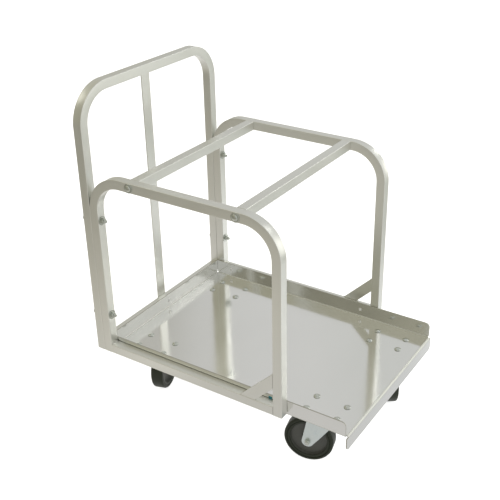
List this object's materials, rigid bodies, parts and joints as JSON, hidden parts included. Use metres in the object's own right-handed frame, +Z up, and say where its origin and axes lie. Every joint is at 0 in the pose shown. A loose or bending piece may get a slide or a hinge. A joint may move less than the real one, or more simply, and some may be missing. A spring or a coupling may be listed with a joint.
{
  "type": "airport luggage trolley",
  "caption": "Flat-deck luggage trolley with a folded sheet tray, side hoops joined by crossbars, a tall push handle and swivel casters.",
  "frame": {"origin": "on the floor under the centre of the overall box", "axes": "+Z up, +Y towards the push handle, -Y towards the loading lip, +X to the left of a person who pushes"},
  "size_m": [0.5578, 0.7488, 0.8856],
  "materials": {
    "aluminium_tube": "mill finish extruded tube and flat bar, satin",
    "aluminium_sheet": "mill finish sheet, semi-bright",
    "zinc_plated_steel": "bright zinc plate, faintly blue",
    "bright_bolt": "plain bright fastener",
    "black_wheel": "matt black moulded wheel"
  },
  "bodies": {
    "trolley_frame": {"handle_hoop": "aluminium_tube", "handle_bottom_rail": "aluminium_tube", "handle_centre_bar": "aluminium_tube", "hoop_right": "aluminium_tube", "hoop_left": "aluminium_tube", "side_rail_right": "aluminium_tube", "side_rail_left": "aluminium_tube", "gusset_right": "aluminium_tube", "gusset_left": "aluminium_tube", "crossbar_front": "aluminium_tube", "crossbar_rear": "aluminium_tube", "deck_tray": "aluminium_sheet", "caster_bolt_front_right_1": "bright_bolt", "caster_bolt_front_right_2": "bright_bolt", "caster_bolt_front_right_3": "bright_bolt", "caster_bolt_front_right_4": "bright_bolt", "caster_bolt_front_left_1": "bright_bolt", "caster_bolt_front_left_2": "bright_bolt", "caster_bolt_front_left_3": "bright_bolt", "caster_bolt_front_left_4": "bright_bolt", "caster_bolt_rear_right_1": "bright_bolt", "caster_bolt_rear_right_2": "bright_bolt", "caster_bolt_rear_right_3": "bright_bolt", "caster_bolt_rear_right_4": "bright_bolt", "caster_bolt_rear_left_1": "bright_bolt", "caster_bolt_rear_left_2": "bright_bolt", "caster_bolt_rear_left_3": "bright_bolt", "caster_bolt_rear_left_4": "bright_bolt", "crossbar_bolt_front_right": "bright_bolt", "crossbar_bolt_front_left": "bright_bolt", "crossbar_bolt_rear_right": "bright_bolt", "crossbar_bolt_rear_left": "bright_bolt", "clamp_bolt_lower_right": "bright_bolt", "clamp_bolt_lower_left": "bright_bolt", "clamp_bolt_upper_right": "bright_bolt", "clamp_bolt_upper_left": "bright_bolt", "deck_rivet_front_right": "bright_bolt", "deck_rivet_front_left": "bright_bolt", "deck_rivet_rear_right": "bright_bolt", "deck_rivet_rear_left": "bright_bolt", "deck_rivet_rear_middle": "bright_bolt", "caster_plate_front_right": "zinc_plated_steel", "caster_plate_front_left": "zinc_plated_steel", "caster_plate_rear_right": "zinc_plated_steel", "caster_plate_rear_left": "zinc_plated_steel"},
    "caster_swivel_front_right": {"caster_fork_front_right": "zinc_plated_steel", "caster_axle_front_right": "bright_bolt"},
    "caster_wheel_front_right": {"caster_wheel_front_right": "black_wheel"},
    "caster_swivel_front_left": {"caster_fork_front_left": "zinc_plated_steel", "caster_axle_front_left": "bright_bolt"},
    "caster_wheel_front_left": {"caster_wheel_front_left": "black_wheel"},
    "caster_swivel_rear_right": {"caster_fork_rear_right": "zinc_plated_steel", "caster_axle_rear_right": "bright_bolt"},
    "caster_wheel_rear_right": {"caster_wheel_rear_right": "black_wheel"},
    "caster_swivel_rear_left": {"caster_fork_rear_left": "zinc_plated_steel", "caster_axle_rear_left": "bright_bolt"},
    "caster_wheel_rear_left": {"caster_wheel_rear_left": "black_wheel"}
  },
  "joints": [
    {"name": "swivel_front_right", "type": "hinge", "parent": "trolley_frame", "child": "caster_swivel_front_right", "pos_m": [-0.1739, -0.28035, 0.1415], "axis": [0, 0, 1], "continuous": true},
    {"name": "roll_front_right", "type": "hinge", "parent": "caster_swivel_front_right", "child": "caster_wheel_front_right", "pos_m": [-0.18382, -0.24057, 0.0635], "axis": [0.9703, 0.2419, 0], "continuous": true},
    {"name": "swivel_front_left", "type": "hinge", "parent": "trolley_frame", "child": "caster_swivel_front_left", "pos_m": [0.1691, -0.28035, 0.1415], "axis": [0, 0, 1], "continuous": true},
    {"name": "roll_front_left", "type": "hinge", "parent": "caster_swivel_front_left", "child": "caster_wheel_front_left", "pos_m": [0.13593, -0.30445, 0.0635], "axis": [-0.5878, 0.809, 0], "continuous": true},
    {"name": "swivel_rear_right", "type": "hinge", "parent": "trolley_frame", "child": "caster_swivel_rear_right", "pos_m": [-0.1739, 0.24615, 0.1415], "axis": [0, 0, 1], "continuous": true},
    {"name": "roll_rear_right", "type": "hinge", "parent": "caster_swivel_rear_right", "child": "caster_wheel_rear_right", "pos_m": [-0.1348, 0.25848, 0.0635], "axis": [0.3007, -0.9537, 0], "continuous": true},
    {"name": "swivel_rear_left", "type": "hinge", "parent": "trolley_frame", "child": "caster_swivel_rear_left", "pos_m": [0.1691, 0.24615, 0.1415], "axis": [0, 0, 1], "continuous": true},
    {"name": "roll_rear_left", "type": "hinge", "parent": "caster_swivel_rear_left", "child": "caster_wheel_rear_left", "pos_m": [0.14985, 0.28235, 0.0635], "axis": [0.8829, 0.4695, 0], "continuous": true}
  ]
}
